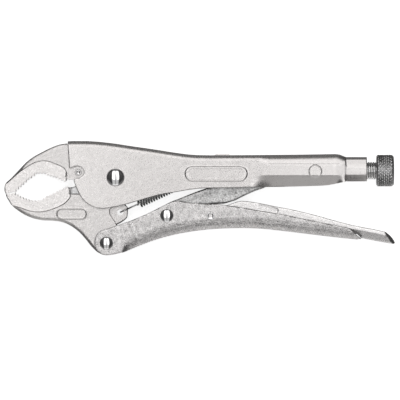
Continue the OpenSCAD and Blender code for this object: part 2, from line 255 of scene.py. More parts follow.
def shell(shared, rest, i0, i1, ceiling, z_out, z_in, s, rings, lines):
    """a folded sheet: both outsides, both insides, the roof strip, the ceiling strip and the rims along the open edge"""
    outline = np.concatenate([shared, rest])
    n_s = len(shared)
    P, T, (L,) = region(outline, s, rings, lines)
    n = len(P)
    zo = z_out(P)
    V = [np.column_stack([P, zo]), np.column_stack([P, -zo])]
    F = [tuple(t) for t in T] + [tuple(t[::-1] + n) for t in T]
    cav = np.concatenate([shared[i0:i1 + 1], ceiling])
    Q, T2, (M,) = region(cav, s * 1.25, (0.3,), ())
    m = len(Q)
    zi = z_in(Q)
    V += [np.column_stack([Q, zi]), np.column_stack([Q, -zi])]
    o = 2 * n
    F += [tuple(t[::-1] + o) for t in T2] + [tuple(t + o + m) for t in T2]
    # the outline loop was resampled; shared points are its first n_s entries because they're already close enough
    for k in range(len(L)):
        a, b = L[k], L[(k + 1) % len(L)]
        if i0 <= k < i1:
            p, q = M[k - i0] + o, M[k - i0 + 1] + o
            F += [(a, b, q, p), (b + n, a + n, p + m, q + m)]
        elif k == i0 - 1 or (i0 == 0 and k == len(L) - 1):
            p = M[0] + o
            F.append((a, b, p, p + m, b + n, a + n))
        elif k == i1:
            p = M[i1 - i0] + o
            F.append((a, b, b + n, a + n, p + m, p))
        else:
            F.append((a, b, b + n, a + n))
    last = i1 - i0
    for k in range(last, len(M)):
        p, q = M[k] + o, M[(k + 1) % len(M)] + o
        F.append((p, q, q + m, p + m))
    return np.concatenate(V), F


def lathe(profile, n, axis="z", center=(0, 0, 0), cap=True):
    """profile: rows of (radius, height)"""
    P = np.array(profile, float)
    a = 2 * math.pi * np.arange(n) / n
    V = np.zeros((len(P), n, 3))
    V[..., 0] = P[:, 0][:, None] * np.cos(a)
    V[..., 1] = P[:, 0][:, None] * np.sin(a)
    V[..., 2] = P[:, 1][:, None]
    V = V.reshape(-1, 3)
    F = []
    for i in range(len(P) - 1):
        for k in range(n):
            q = (k + 1) % n
            F.append((i * n + k, i * n + q, (i + 1) * n + q, (i + 1) * n + k))
    if cap:
        F.append(tuple(range(n))[::-1])
        F.append(tuple((len(P) - 1) * n + k for k in range(n)))
    if axis == "x":
        V = V[:, [2, 0, 1]]
    return V + np.array(center), F


def grid_lathe(xs, R, n, center_y, center_z):
    """surface of revolution about X whose radius is R(x, angle)"""
    a = 2 * math.pi * np.arange(n) / n
    r = R(np.array(xs)[:, None], a[None, :])
    V = np.stack([np.broadcast_to(np.array(xs)[:, None], r.shape), center_y + r * np.cos(a), center_z + r * np.sin(a)], 2).reshape(-1, 3)
    F = []
    for i in range(len(xs) - 1):
        for k in range(n):
            q = (k + 1) % n
            F.append((i * n + k, i * n + q, (i + 1) * n + q, (i + 1) * n + k))
    F.append(tuple(range(n))[::-1])
    F.append(tuple((len(xs) - 1) * n + k for k in range(n)))
    return V, F


def tube(path, r, n=10):
    path = np.array(path, float)
    t = np.gradient(path, axis=0)
    t /= np.linalg.norm(t, axis=1)[:, None]
    u = np.cross(t[0], [0, 0, 1.0]) if abs(t[0][2]) < 0.9 else np.cross(t[0], [1.0, 0, 0])
    V = []
    for p, d in zip(path, t):
        u = u - d * np.dot(u, d)
        u /= np.linalg.norm(u)
        w = np.cross(d, u)
        for k in range(n):
            b = 2 * math.pi * k / n
            V.append(p + r * (math.cos(b) * u + math.sin(b) * w))
    F = []
    for i in range(len(path) - 1):
        for k in range(n):
            q = (k + 1) % n
            F.append((i * n + k, i * n + q, (i + 1) * n + q, (i + 1) * n + k))
    F.append(tuple(range(n))[::-1])
    F.append(tuple((len(path) - 1) * n + k for k in range(n)))
    return np.array(V), F


def add(name, VF, mat, body, nodes=(), sharp=32, zc=ZC, raised=None):
    V, F = VF
    V = np.array(V, float)
    V[:, 2] += zc
    me = bpy.data.meshes.new(name)
    me.from_pydata((V * 0.001).tolist(), [], [tuple(int(i) for i in f) for f in F])
    bm = bmesh.new()
    bm.from_mesh(me)
    bmesh.ops.recalc_face_normals(bm, faces=bm.faces)
    bm.to_mesh(me)
    bm.free()
    me.polygons.foreach_set("use_smooth", [True] * len(me.polygons))
    me.set_sharp_from_angle(angle=math.radians(sharp))
    me.materials.append(mat)
    if raised is not None:
        me.attributes.new("raised", "FLOAT", "POINT").data.foreach_set("value", np.asarray(raised, np.float32))
    o = bpy.data.objects.new(name, me)
    bpy.context.scene.collection.objects.link(o)
    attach(o, body)
    if nodes:
        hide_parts(*nodes)
    return o


# ------------------------------------------------------------------ materials
def metal(name, col, rough, grain=1500, bump=0.3, speck=0.1, stain=0.05, dark=0.0, wear=0.15, metallic=1.0, coat=0.0, depth=0.00005, highlight_gain=0.0, calm=None):
    m = bpy.data.materials.new(name)
    m.use_nodes = True
    nt = m.node_tree
    N, L = nt.nodes, nt.links
    b = N["Principled BSDF"]
    tc = N.new("ShaderNodeTexCoord")

    def noise(scale, detail, rgh=0.6, vec=None):
        n = N.new("ShaderNodeTexNoise")
        n.inputs["Scale"].default_value = scale
        n.inputs["Detail"].default_value = detail
        n.inputs["Roughness"].default_value = rgh
        L.new(vec or tc.outputs["Object"], n.inputs["Vector"])
        return n.outputs["Fac"]

    def math_(op, a, c):
        n = N.new("ShaderNodeMath")
        n.operation = op
        for i, v in enumerate((a, c)):
            if isinstance(v, (int, float)):
                n.inputs[i].default_value = v
            else:
                L.new(v, n.inputs[i])
        return n.outputs[0]

    def spread(v):
        n = N.new("ShaderNodeMapRange")
        n.inputs["From Min"].default_value = 0.3
        n.inputs["From Max"].default_value = 0.7
        L.new(v, n.inputs["Value"])
        return n.outputs[0]

    fine = spread(noise(grain, 2, 0.6))
    mid = spread(noise(grain * 0.3, 3))
    big = noise(grain * 0.02, 3)
    if calm:
        # smoother beyond a place along the length
        sx = N.new("ShaderNodeSeparateXYZ")
        L.new(tc.outputs["Object"], sx.inputs[0])
        cr = N.new("ShaderNodeMapRange")
        for k, v in (("From Min", calm[0]), ("From Max", calm[1]), ("To Min", 1.0), ("To Max", calm[2])):
            cr.inputs[k].default_value = v
        L.new(sx.outputs["X"], cr.inputs["Value"])
        fine = math_("ADD", math_("MULTIPLY", math_("SUBTRACT", fine, 0.5), cr.outputs[0]), 0.5)
        mid = math_("ADD", math_("MULTIPLY", math_("SUBTRACT", mid, 0.5), cr.outputs[0]), 0.5)
    # colour: grain, faint staining, edges rubbed bright
    f = math_("ADD", math_("MULTIPLY", math_("SUBTRACT", fine, 0.5), 2.6 * speck), math_("MULTIPLY", math_("SUBTRACT", mid, 0.5), 1.2 * speck))
    f = math_("ADD", f, math_("MULTIPLY", math_("SUBTRACT", big, 0.5), 2 * stain))
    geo = N.new("ShaderNodeNewGeometry")
    ramp = N.new("ShaderNodeMapRange")
    ramp.inputs["From Min"].default_value = 0.5
    ramp.inputs["From Max"].default_value = 0.62
    L.new(geo.outputs["Pointiness"], ramp.inputs["Value"])
    f = math_("ADD", f, math_("MULTIPLY", ramp.outputs[0], wear))
    f = math_("ADD", f, 1.0 - dark)
    # painted highlight: colour brightened by the per-point highlight attribute, scaled by the gain
    if highlight_gain:
        at = N.new("ShaderNodeAttribute")
        at.attribute_name = "raised"
        f = math_("MULTIPLY", f, math_("ADD", math_("MULTIPLY", at.outputs["Fac"], highlight_gain), 1.0))
    mix = N.new("ShaderNodeVectorMath")
    mix.operation = "SCALE"
    mix.inputs[0].default_value = col
    L.new(f, mix.inputs["Scale"])
    L.new(mix.outputs[0], b.inputs["Base Color"])
    b.inputs["Metallic"].default_value = metallic
    r = math_("ADD", math_("MULTIPLY", math_("SUBTRACT", fine, 0.5), 0.35 * min(1, rough * 3)), rough)
    r = math_("ADD", r, math_("MULTIPLY", math_("SUBTRACT", big, 0.5), 0.12 * min(1, rough * 3)))
    L.new(r, b.inputs["Roughness"])
    if coat:
        b.inputs["Coat Weight"].default_value = coat
        b.inputs["Coat Roughness"].default_value = 0.2
    bp = N.new("ShaderNodeBump")
    bp.inputs["Strength"].default_value = bump
    bp.inputs["Distance"].default_value = depth
    L.new(math_("ADD", math_("MULTIPLY", fine, 0.6), math_("MULTIPLY", mid, 0.8)), bp.inputs["Height"])
    L.new(bp.outputs[0], b.inputs["Normal"])
    return m


# jaw, lever, screw and knob carry a gain for their painted highlights
M_body = metal("body_satin", (0.55, 0.534, 0.53), 0.32, grain=1400, bump=0.6, speck=0.085, stain=0.12, depth=0.00004, calm=(0.036, 0.05, 0.45))
M_jaw = metal("jaw_steel", (0.53, 0.516, 0.512), 0.36, grain=1300, bump=0.7, speck=0.10, stain=0.14, depth=0.00006, highlight_gain=0.14)
M_cut = metal("cutter_steel", (0.46, 0.46, 0.465), 0.34, grain=2400, bump=0.4, speck=0.10, stain=0.14)
M_chrome = metal("rivet_chrome", (0.80, 0.80, 0.81), 0.05, grain=900, bump=0.04, speck=0.02, stain=0.05, wear=0.0)
M_lever = metal("lever_satin", (0.51, 0.50, 0.50), 0.36, grain=1500, bump=1.0, speck=0.42, stain=0.10, depth=0.00009, highlight_gain=0.75)
M_link = metal("link_cast", (0.44, 0.44, 0.44), 0.40, grain=850, bump=1.0, speck=0.55, stain=0.12, depth=0.00012)
M_release = metal("release_satin", (0.62, 0.61, 0.61), 0.34, grain=1200, bump=0.8, speck=0.15, stain=0.12, depth=0.00007)
M_screw = metal("screw_black", (0.36, 0.36, 0.36), 0.22, grain=1800, bump=0.4, speck=0.15, stain=0.14, wear=0.3, highlight_gain=4.0)
M_knob = metal("knob_black", (0.46, 0.46, 0.464), 0.22, grain=1800, bump=0.5, speck=0.2, stain=0.15, wear=0.2, highlight_gain=2.6)
M_spring = metal("spring_steel", (0.55, 0.55, 0.55), 0.26, grain=2400, bump=0.3, speck=0.10, stain=0.12)

# ------------------------------------------------------------------ body
top_line = chain([[-88, 36.3], [-78, 36.5], [-68, 36.3], [-56, 35], [-44, 33.2], [-30, 31.2], [-16, 29], [-6, 27.7], [4, 27.3], [16, 27.3], [60, 27.7], [92, 28.1]])
top_s = smooth([[-92, 35.9], [-88, 36.2], [-78, 36.45], [-68, 36.2], [-56, 35], [-44, 33.2], [-30, 31.2], [-16, 29], [-6, 27.75], [4, 27.35], [16, 27.35], [38, 27.5], [60, 27.7], [80, 28], [87.2, 28.05], [90, 27.5], [93.2, 26.25]], 5)
notch = smooth([[-83.4, 18.7], [-82, 19.3], [-79.8, 20.1], [-77.4, 20.2], [-75.2, 19.2], [-74.1, 17], [-74.6, 14.8], [-76.4, 13.3], [-79, 12.5], [-80.8, 11.6]])
belly = smooth([[-80.8, 11.6], [-79.6, 8], [-77.8, 4], [-75, -0.8], [-71, -4.2], [-66.5, -6.2], [-61.5, -6.8], [-56.5, -6], [-47, -4], [-38.5, -1.5], [-26, 2], [-16, 3.7], [-6.5, 5.3], [0.5, 6.1], [10, 6.4], [22, 6.5], [33, 6.9], [54, 7.2], [78, 7.9], [85, 8.8], [93, 10.5]])


def y_on(C, x):
    k = np.argsort(C[:, 0])
    return np.interp(x, C[k, 0], C[k, 1])


body_s = 0.85
front_top = [-84.6, float(y_on(top_s, -84.6)) - 0.05]
shared = resample(chain([[-84.5, 33.6], [-83.4, 18.9]], notch, belly[belly[:, 0] <= 56.2]), body_s, False)
i1 = len(shared) - 1
rest = resample(chain([shared[-1]], belly[belly[:, 0] > 56.8], [[93.2, 10.6], [106.7, 10.6], [106.7, 26.2], [93.2, 26.2]],
                      top_s[(top_s[:, 0] < 92.9) & (top_s[:, 0] > -84)][::-1], [front_top, [-84.5, 33.6]]), body_s, False)[1:-1]
ceil_line = smooth([[56.6, 25.2], [40, 25.1], [16, 24.95], [4, 24.95], [-6, 25.35], [-16, 26.6], [-30, 28.8], [-44, 30.8], [-56, 32.6], [-68, 33.8], [-78, 34.1], [-83, 34.0]], 4)
ceiling = resample(chain([shared[i1]], [[56.6, 12]], ceil_line, [shared[0]]), 1.0, False)[1:-1]
big_frame = stadium((10.3, 15.7), 39.6, 9.2, 14)
big_inner = stadium((10.3, 15.7), 37.2, 6.8, 14)
ring_mark = arc((73.6, 17.3), 4.0, 0, 360, 32)[:-1]


def body_z(P):
    x, y = P[:, 0], P[:, 1]
    z = np.full(len(P), HB)
    # rear: upper facet and lower flanks pressed inwards
    up = step(x - 41, 8) * np.clip(y - 21.8, 0, 8)
    z -= 0.22 * up
    ramp = step(x - 40.5, 17) * (1 - step(x - 89.5, 6))
    z -= math.tan(math.radians(29)) * ramp * (np.sqrt(np.clip(14.7 - y, 0, 20) ** 2 + 0.15) - math.sqrt(0.15)) * (y < 14.7)
    # the end draws in to the collar
    z -= np.clip(x - 86, 0, 7.2) / 7.2 * 0.8 * (x < 93.2)
    yc = np.interp(y, [10.6, 14.9, 20.3, 24.5, 26.2], [2.6, 7.8, 7.8, 6.2, 2.6])
    w = step(x - 92.9, 0.8)
    z = z * (1 - w) + yc * w
    # fold along the back
    z -= (1 - w) * drop(dist(top_s, P, False), FOLD) * 1.0
    # open edge and collar end, lightly rounded
    z -= drop(dist(shared, P, False), 0.55) * 0.75
    z -= drop(np.abs(106.7 - x), 0.6) * 0.8 * (x > 100)
    z -= 0.3 * band(x - 93.1, 0.7)
    z -= 0.14 * (band(y - 20.3, 0.45) + 0.6 * band(y - 14.9, 0.4)) * w
    # plain frames
    z += 0.2 * band(dist(big_frame, P), 0.6) + 0.1 * band(dist(big_inner, P), 0.4)
    z += 0.17 * band(dist(ring_mark, P), 0.6)
    z -= 0.12 * band(y - 21.6, 0.55) * step(x - 42, 8) * (x < 90)
    return np.maximum(z, 1.0)


def body_in(P):
    z = np.full(len(P), HI)
    c = ceil_line
    return np.minimum(z - drop(dist(c, P, False), 1.4), body_z(P) - 1.9 + step(15 - P[:, 1], 2))


lines = [(big_frame, True, 0.9), (big_inner, True, 0.7), (ring_mark, True, 0.9),
         (top_s[(top_s[:, 0] > -84) & (top_s[:, 0] < 91)] - [0, 3.8], False, 0.6), (top_s[(top_s[:, 0] > -84) & (top_s[:, 0] < 91)] - [0, 1.9], False, 0.8),
         ([[38, 14.7], [92, 14.7]], False, 0.5), ([[92.9, 11.5], [92.9, 25.5]], False, 0.6),
         ([[93.5, 14.9], [106.5, 14.9]], False, 0.3), ([[93.5, 20.3], [106.5, 20.3]], False, 0.3), ([[93.5, 24.5], [106.5, 24.5]], False, 0.3), ([[44, 21.8], [90, 21.8]], False, 0.3)]
add("body_channel", shell(shared, rest, 0, i1, ceiling, body_z, body_in, body_s, (0.1, 0.25, 0.5, 1.0), lines), M_body, "body", ["body_shell"])

# ------------------------------------------------------------------ jaws
nose = smooth([[-124.3, 2.7], [-125, 5], [-124.4, 9], [-121, 12.4], [-116, 17.6], [-111.5, 22.4], [-107.5, 25.6], [-103.5, 28], [-96, 31.8], [-90, 34.1], [-85.1, 34.9]])
up_front = [[-119.4, 4.1], [-116.5, 7], [-113.2, 9.8], [-110.3, 12.6], [-107, 14.6], [-106, 15.8]]
up_mid = [[-106, 15.8], [-104, 16.3], [-100.5, 16.3], [-98.3, 15.9]]
up_back = [[-98.3, 15.9], [-96, 15.2], [-91.5, 13.8], [-88.6, 12.5], [-85.4, 11.2]]
up_line = chain(teeth(up_back[::-1], 7, 1.35), teeth(smooth(up_mid)[::-1], 4, 0.9), teeth(up_front[::-1], 8, 1.35))
up_band = smooth([[-123.4, 9.4], [-118.5, 13.8], [-113.7, 17.8], [-107, 22], [-102, 23.6], [-97.2, 23.5], [-91.5, 21.5], [-87, 19.2], [-85.5, 16.8]])
jaw_out = chain(nose, [[-83.6, 34.0], [-66.5, 32.2], [-60, 31.2], [-60, 28], [-66.5, 24], [-66.5, 12], [-85.4, 12], [-85.4, 11.2]], up_line)
band_out = chain([[-127, -2], [-127.5, 5], [-125.6, 9.6]], up_band, [[-85.45, 8.5], [-98, 9], [-106, 9], [-118, -1]])


def fixed_z(P):
    z = np.full(len(P), HI - 0.05)
    s = signed(band_out, P)
    z += 0.72 * step(s, 0.5)
    # faint saw marks over the gripping band
    z -= 0.07 * (s > 0.4) * (0.5 + 0.5 * np.sin(2 * math.pi * (P[:, 0] * 0.72 + P[:, 1] * 0.3) / 1.5))
    z -= drop(dist(nose, P, False), 0.6) + 0.12 * drop(dist(up_line, P, False), 0.3)
    z -= 0.5 * (1 - step(dist(nose, P, False) - 0.8, 1.6)) * (P[:, 0] < -85.5) * step(P[:, 0] + 119, 5)
    return z


UJ = plate(jaw_out, fixed_z, 0.7, (0.1, 0.25, 0.5, 0.9, 1.5), [(up_band, False, 0.5)])
# painted highlight: the gripping band of the fixed jaw is painted lighter
add("upper_jaw", UJ, M_jaw, "body", ["fixed_jaw"], raised=step(signed(band_out, UJ[0][:, :2]), 0.6))

jaw_under = smooth([[-124.2, 2.4], [-123.6, 0.6], [-122.3, -1.7], [-120.3, -4.7], [-116.5, -7.9], [-111.5, -11], [-106.3, -13.1], [-100.5, -14.3], [-94, -14.6], [-88, -15.5], [-82.3, -18], [-77, -22], [-72.7, -26.8], [-69.3, -31.1], [-65.7, -34.6]])
jaw_rear = [[-53.3, -17.2], [-55.6, -13.6], [-57.9, -10], [-57.9, -7.4], [-55.4, -5.4], [-51.6, -2], [-46.6, 6]]
jaw_top = [[-63.4, 16.4], [-66, 11.6], [-71, 9.3], [-79.4, 7.6], [-81.4, 7]]
low_front = [[-119.8, 2.9], [-117.1, 1.2], [-114.3, -0.4], [-111.4, -1.4], [-109, -2.2]]
low_mid = [[-109, -2.2], [-106, -2.3], [-103, -2.2], [-100.5, -1.6]]
low_back = [[-100.5, -1.6], [-98.3, 0], [-94.8, 1.5], [-91.5, 3.1], [-88, 4.9], [-84, 6.8]]
low_line = chain(teeth(low_back[::-1], 8, -1.35), teeth(smooth(low_mid)[::-1], 4, -0.9), teeth(low_front[::-1], 6, -1.35))
low_band = smooth([[-83.9, 6.6], [-82.9, 1.4], [-84, -0.8], [-86.8, -3.6], [-91.5, -6], [-97.2, -8], [-103.4, -8.9], [-109, -8.2], [-113.7, -6.6], [-117.8, -5.2], [-120.3, -4.6]])
tang_zone = chain([[-52.2, -22.5]], jaw_rear, [[-40, 6], [-40, -22.5]])
tang = [[-53.3, -17.2], [-49.7, -15.2], [-46.9, -12.8], [-46.2, -10], [-46.2, -6.2], [-47.4, -4.5], [-49.4, -0.6], [-50.4, 0]]
low_out = chain(jaw_under, arc(P2, 7.9, -112, -8, 12), [[-52.2, -22]], smooth(tang, 3), [[-46.6, 6]], arc(P1, 10, -30, 152, 24), jaw_top, [[-84, 6.8]], low_line)
lband_out = chain([[-127, 6], [-127.5, 0], [-125, -3.4], [-121.6, -5.2]], low_band[::-1], [[-83.9, 9.5], [-98, 4.5], [-106, 2], [-118, 7]])
label = stadium((-82, -10), 18.8, 6.4, 10)
lower_block = np.array([[-83.2, 2.5], [-77.1, 2.5], [-77.1, 7.7], [-81.4, 6.8], [-83.2, 6.1]])


def low_z(P):
    z = 5.8 - 4.0 * step(signed(tang_zone, P), 0.45)
    s = signed(lband_out, P)
    z += 1.0 * step(s, 0.6)
    z -= 0.07 * (s > 0.4) * (0.5 + 0.5 * np.sin(2 * math.pi * (P[:, 0] * 0.72 - P[:, 1] * 0.3) / 1.5))
    soft = chain(jaw_under, arc(P2, 7.9, -112, -8, 12), [[-52.2, -22]], smooth(tang, 3))
    z -= drop(dist(soft, P, False), 0.7) + 0.12 * drop(dist(low_line, P, False), 0.3)
    z -= 0.6 * (1 - step(dist(jaw_under, P, False) - 0.9, 1.8)) * step(P[:, 0] + 118, 6)
    z += 0.22 * band(dist(label, P), 0.75)
    z -= 0.4 * band(dist(lower_block, P), 0.6)
    return z


LJ = plate(low_out, low_z, 0.7, (0.1, 0.25, 0.5, 0.9, 1.5), [(low_band, False, 0.6), (label, True, 1.0), (lower_block, True, 0.7), (jaw_rear, False, 0.6)], [arc(H, 1.9, 0, 360, 24)[:-1]])
# painted highlight: the gripping band of the moving jaw is painted lighter
add("moving_jaw", LJ, M_jaw, "lower_jaw", ["lower_jaw"], raised=step(signed(lband_out, LJ[0][:, :2]), 0.6))


def cutter_z(P):
    z = np.full(len(P), 6.02)
    z -= drop(dist(lower_block, P), 0.45)
    # ground face falls towards the cutting edge
    return z - 0.16 * np.clip(-81.2 - P[:, 0], 0, 3)


add("lower_cutter_block", plate(lower_block, cutter_z, 0.5, (0.1, 0.25, 0.45)), M_cut, "lower_jaw", ["lower_cutter"])

PC = (-77.8, 16.4)
up_block = smooth([[-84.3, 12.3], [-84.0, 17.6], [-83.2, 18.6], [-80.9, 19.3], [-78.4, 19.7], [-76.2, 19.0], [-74.9, 17.2], [-75, 15.1], [-76.7, 13.6], [-79.2, 12.8], [-81.2, 11.95], [-84.2, 11.9]])


def up_cut_z(P):
    r = np.hypot(P[:, 0] - PC[0], P[:, 1] - PC[1])
    z = np.full(len(P), HI - 0.25)
    # raised ring round the pin, groove outside it
    z += 0.34 * band(r - 2.05, 0.5) - 0.3 * band(r - 2.85, 0.5)
    z -= 0.35 * band(P[:, 0] + 82.2, 0.6) * (r > 3)
    return z - drop(dist(up_block, P), 0.5)


add("upper_cutter_block", plate(up_block, up_cut_z, 0.5, (0.1, 0.25, 0.45), [(arc(PC, 2.05, 0, 360, 24)[:-1], True, 0.6), (arc(PC, 2.85, 0, 360, 30)[:-1], True, 0.6), ([[-82.2, 13], [-82.2, 18.4]], False, 0.6)]),
    M_cut, "body", ["upper_cutter"])


def pin(name, p, r, half, top, dish, mat, body, node):
    """headless pin: rounded rim, shallow dished end"""
    prof = [(0.02, 0), (r, 0), (r, half)]
    for a in np.linspace(10, 90, 8):
        prof.append((r - 0.35 * (1 - math.cos(math.radians(a))), half + top * math.sin(math.radians(a))))
    for t in np.linspace(0.15, 1, 8):
        prof.append(((r - 0.35) * (1 - t) + 0.02, half + top - dish * math.sin(t * math.pi / 2)))
    V, F = lathe(prof[1:], 48, center=(p[0], p[1], 0), cap=False)
    n = len(V)
    F.append(tuple(n - 48 + k for k in range(48)))
    V2 = V * [1, 1, -1]
    F = F + [tuple((i if i < 48 else i + n) for i in f[::-1]) for f in F]
    return add(name, (np.concatenate([V, V2]), F), mat, body, [node], sharp=50)


pin("cutter_pin_end", PC, 1.55, HI - 0.25, 0.5, 0.4, M_chrome, "body", "cutter_pin")

# ------------------------------------------------------------------ lever
ear = smooth([[-46.5, -15.2], [-52.7, -17.5], [-57, -19], [-60.5, -20.1], [-64.1, -21.4], [-66.6, -24.8], [-67.35, -28.8], [-66.4, -32.8], [-63.5, -35.6], [-59.4, -36.5], [-55, -36.1], [-51.4, -35.2], [-49.4, -34.9]])
wall_top = smooth([[-46.5, -15.2], [-44.6, -14.6], [-34, -10.2], [-25.5, -5.9], [-19, -2.9], [-15, -2], [-11.6, -2.3], [-1, -3.4], [8, -3.9], [16, -4.5], [33.7, -7.3], [48.4, -9.7], [61.5, -12.4], [77.8, -15.8], [90.9, -18.4], [96, -20], [99, -22.6], [103.3, -26.2]])
web = smooth([[-56, -37.4], [-49.4, -34.95], [-44, -32.8], [-36, -29.5], [-29, -27], [-22, -24.9], [-14, -23], [-5, -21.4], [4, -20.3], [14, -19.6], [26, -19.3], [38, -19.6], [52, -21], [70, -23.2], [88, -25.3], [103.3, -26.9], [110, -27.6]])
lev_s = 0.8
sh = resample(chain(ear[::-1], wall_top[1:]), lev_s, False)
cut_i = int(np.argmin(np.hypot(sh[:, 0] - 100.6, sh[:, 1] + 23.9)))
restl = resample(chain([sh[-1]], web[(web[:, 0] < 103) & (web[:, 0] > -49)][::-1], [sh[0]]), lev_s, False)[1:-1]
ceil_w = smooth([[-49.0, -32.0], [-44, -30.2], [-36, -27], [-29, -24.6], [-22, -22.5], [-14, -20.6], [-5, -19], [4, -17.9], [14, -17.2], [26, -16.9], [38, -17.2], [52, -18.6], [70, -20.8], [88, -22.9], [99.5, -24.3]], 4)
ceil_l = resample(chain([sh[cut_i]], ceil_w[::-1], [sh[0]]), 1.0, False)[1:-1]


def lev_z(P):
    x, y = P[:, 0], P[:, 1]
    # joggle line from (-45.1,-15.3) to (-40.7,-27)
    dj = ((x + 45.1) * 11.7 + (y + 15.3) * 4.4) / 12.5
    z = HL - 0.75 * (1 - step(dj - 0.8, 6.0))
    k = step(x + 47.6, 5)
    dw = dist(web, P, False)
    z -= k * (drop(dw, 4.4) + 0.17 * np.clip(7.0 - dw, 0, 7))
    z -= drop(dist(sh, P, False), 0.6) * 0.85
    z -= drop(np.abs(103.3 - x), 2.0) * (x > 96)
    # slit beside the link
    z -= 0.1 * band(x + 1.0, 0.5) * (y > -6.6)
    return np.maximum(z, 0.8)


def lev_in(P):
    x, y = P[:, 0], P[:, 1]
    dj = ((x + 45.1) * 11.7 + (y + 15.3) * 4.4) / 12.5
    z = HL - SHEET - 0.75 * (1 - step(dj - 0.8, 5.0))
    return z - drop(dist(ceil_w, P, False), 2.0)


w_in = web[(web[:, 0] > -48) & (web[:, 0] < 102)]
LC = shell(sh, restl, 0, cut_i, ceil_l, lev_z, lev_in, lev_s, (0.1, 0.25, 0.5, 1.0),
                           [([[-44.4, -15.5], [-40.0, -27.3]], False, 2.4), (w_in + [0.3, 4.3], False, 0.7), (w_in + [0.2, 2.2], False, 0.9), ([[-1, -3.2], [-1, -6.6]], False, 0.5)])
# painted highlight: a light streak painted along the joggle line of the lever wall
dj = ((LC[0][:, 0] + 45.1) * 11.7 + (LC[0][:, 1] + 15.3) * 4.4) / 12.5
add("lever_channel", LC, M_lever, "lever", ["lever"], raised=band(dj - 0.9, 2.0) * step(LC[0][:, 1] + 25.2, 1.5))

# ------------------------------------------------------------------ toggle link
link_up = smooth([[-25.2, -6.2], [-19, -2.6], [-12.8, -0.2], [-6, 2.6], [0.3, 5], [12, 9], [26, 15], [36, 20.2], [43.6, 22.2]])
link_low = smooth([[50, 14.2], [46, 11], [42, 7], [35.6, 4.6], [30, 2.2], [25.1, -0.2], [22.6, -1.5], [20, -2.3], [16, -3.5], [12, -3.8], [8.4, -4.2], [4.5, -4.6], [1.9, -4.8], [-3, -6], [-10, -11], [-15.6, -14.2]])
hub = arc(P3, 6.2, -25, -245, 16)
link_full = chain(link_up, arc(P4, 5.2, 90, -50, 14), link_low, hub[:])
panel = smooth([[-8, -2], [-3, 0], [2, 1.8], [10, 4.8], [18, 7.8], [24, 9.9], [27, 9.6], [27, 6], [25, 3.4], [20, 1], [14, -0.6], [10, -1.2], [4, -0.8], [0, -1.0], [-4, -2.6], [-8, -3]])
slot_c = arc(P4, 8.4, 0, 360, 40)[:-1]


def link_top(P):
    d4 = np.hypot(P[:, 0] - P4[0], P[:, 1] - P4[1])
    d3 = np.hypot(P[:, 0] - P3[0], P[:, 1] - P3[1])
    ax = ((P[:, 0] - P4[0]) * 28.7 - (P[:, 1] - P4[1]) * 67.2) / 73.07
    z = 3.8 + 0.9 * step(10.4 - d4, 1.0) * step(4.6 - np.abs(ax), 0.8) + 3.0 * step(5.7 - d3, 0.7)
    z -= 0.16 * step(signed(panel, P) - 0.3, 1.6)
    z -= drop(dist(link_full, P), 1.1) * 0.9
    return z


def part_of(outline, keep):
    """the run of a closed outline's points for which keep is true, starting after a gap"""
    k = keep(outline)
    s = int(np.argmax(~k))
    o = np.roll(outline, -s, 0)
    return o[np.roll(k, -s)]


lk = resample(link_full, 0.7, True)
far = part_of(lk, lambda X: np.hypot(X[:, 0] - P4[0], X[:, 1] - P4[1]) > 8.4)
a0 = math.degrees(math.atan2(far[-1][1] - P4[1], far[-1][0] - P4[0])) % 360
a1 = math.degrees(math.atan2(far[0][1] - P4[1], far[0][0] - P4[0])) % 360
link_body = chain(far, arc(P4, 8.4, a0, a1, 10)[1:-1])
V1, F1 = plate(link_body, link_top, 0.75, (0.12, 0.3, 0.6, 1.1), [(panel, True, 0.7), (arc(P3, 5.7, 0, 360, 30)[:-1], True, 0.7)])
near = chain(part_of(lk, lambda X: np.hypot(X[:, 0] - P4[0], X[:, 1] - P4[1]) < 10.4))
near = chain(near)
V2, F2 = plate(near, link_top, 0.9, (0.12, 0.4), (), bottom=lambda P: np.full(len(P), 2.5))
n1, n2 = len(V1), len(V2)
V3 = V2 * [1, 1, -1]
add("link", (np.concatenate([V1, V2, V3]), F1 + [tuple(i + n1 for i in f) for f in F2] + [tuple(i + n1 + n2 for i in f[::-1]) for f in F2]), M_link, "toggle_link", ["toggle_link"])

# ------------------------------------------------------------------ release lever
rel_up = smooth([[3.4, -7.6], [8, -6.4], [12, -5.7], [16, -5], [20, -3.7], [24, -2.3], [27, -1.9], [31, -2.2], [35, -2.8], [39.3, -3.5], [48.4, -5.4], [58.2, -7.2], [71.3, -10.3], [84.4, -13.9], [97.4, -17.3], [110.5, -19.8], [118.6, -21.6]])
rel_end = smooth([[118.6, -21.6], [121.6, -24], [123.6, -26.4], [124.9, -28.3], [124.3, -29.2], [122.6, -29.3], [117, -28.4], [104.2, -25.9], [102.6, -24.9], [100.9, -23.3]], 3)
rel_low = smooth([[99.6, -22.9], [90, -21.4], [71, -18.6], [52, -16], [40, -15], [28, -14.8], [16, -15.6], [8, -16.3]])
rel_tip = [[118.6, -21.6], [121.6, -24], [123.6, -26.4], [124.9, -28.3]]
rel_out = chain(rel_up, rel_end, rel_low, arc(P5, 5, -78, -230, 12))
recess = smooth([[32.6, -3.0], [40, -4.2], [46, -5.4], [49.2, -6.6], [50, -8.2], [48.6, -9.6], [44, -9.4], [38, -8.4], [32.6, -7.6]])


def rel_z(P):
    x, y = P[:, 0], P[:, 1]
    d5 = np.hypot(x - P5[0], y - P5[1])
    z = 5.0 + 1.8 * step(4.2 - d5, 0.6)
    z -= 0.4 * step(signed(recess, P), 1.4) * step(x - 36.5, 6)
    # along the tail the side turns in below a bright upper strip
    yt = y_on(rel_up, x)
    low = np.clip((yt - 2.4) - y, 0, 9)
    z -= 0.42 * low * step(x - 96, 14)
    z -= drop(dist(rel_out, P), 0.9) * 0.85
    z -= 1.3 * np.clip(2.1 - dist(rel_tip, P, False), 0, 2.1) * step(x - 119.5, 2)
    return np.maximum(z, 1.0)


